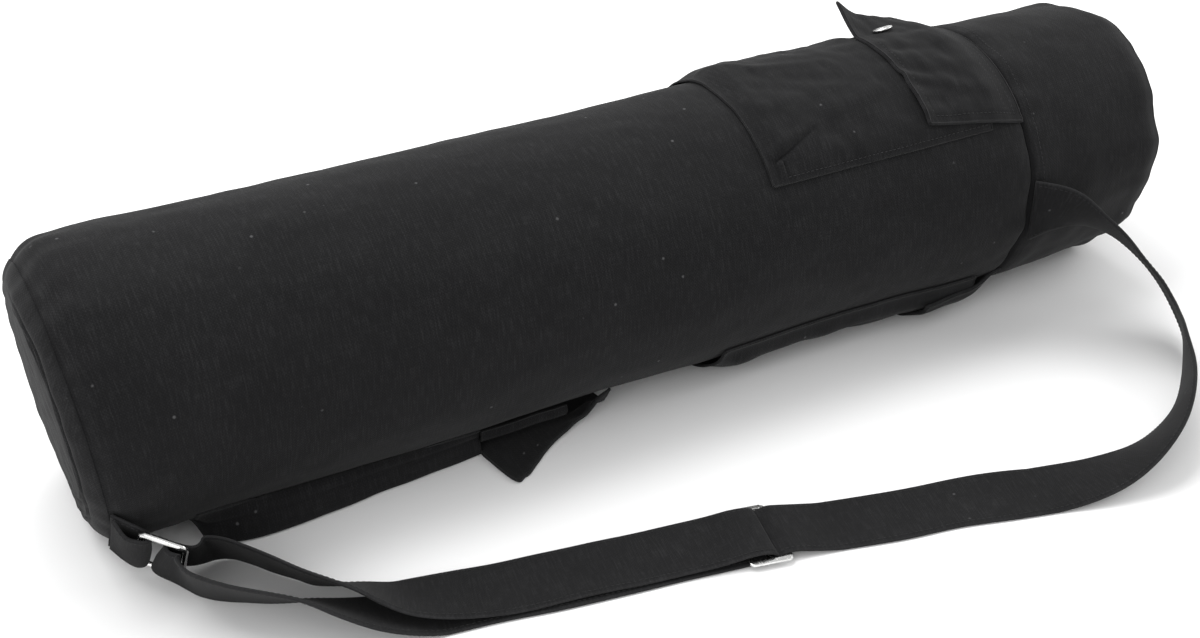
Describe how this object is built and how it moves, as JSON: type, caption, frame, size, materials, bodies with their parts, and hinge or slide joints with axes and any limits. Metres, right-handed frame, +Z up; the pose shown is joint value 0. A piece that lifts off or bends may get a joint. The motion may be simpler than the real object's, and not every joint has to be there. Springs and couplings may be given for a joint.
{
  "type": "yoga mat bag",
  "caption": "Long round canvas bag for a rolled yoga mat, lying on its side, with cargo pockets under flaps, a side pocket and a strap on a metal ring and slider.",
  "frame": {"origin": "on the floor under the middle of the bag's seamed length, where its round underside is pressed flat", "axes": "+X along the bag from its bottom panel to its top panel, +Z up, the strap lies on the -Y side"},
  "size_m": [0.6935, 0.3366, 0.1783],
  "materials": {
    "canvas": "matt woven cotton",
    "webbing": "matt woven webbing",
    "nickel": "bright plated wire and plate"
  },
  "bodies": {
    "root": {"body_tube": "canvas", "bottom_panel": "canvas", "top_section": "canvas", "top_panel": "canvas", "upper_pocket": "canvas", "upper_flap": "canvas", "lower_pocket": "canvas", "lower_flap": "canvas", "side_pocket": "canvas", "side_hem": "canvas", "side_flap": "canvas", "strap_tab": "webbing", "strap": "webbing", "snap_cap": "nickel", "strap_ring": "nickel", "strap_slider": "nickel"}
  },
  "joints": []
}
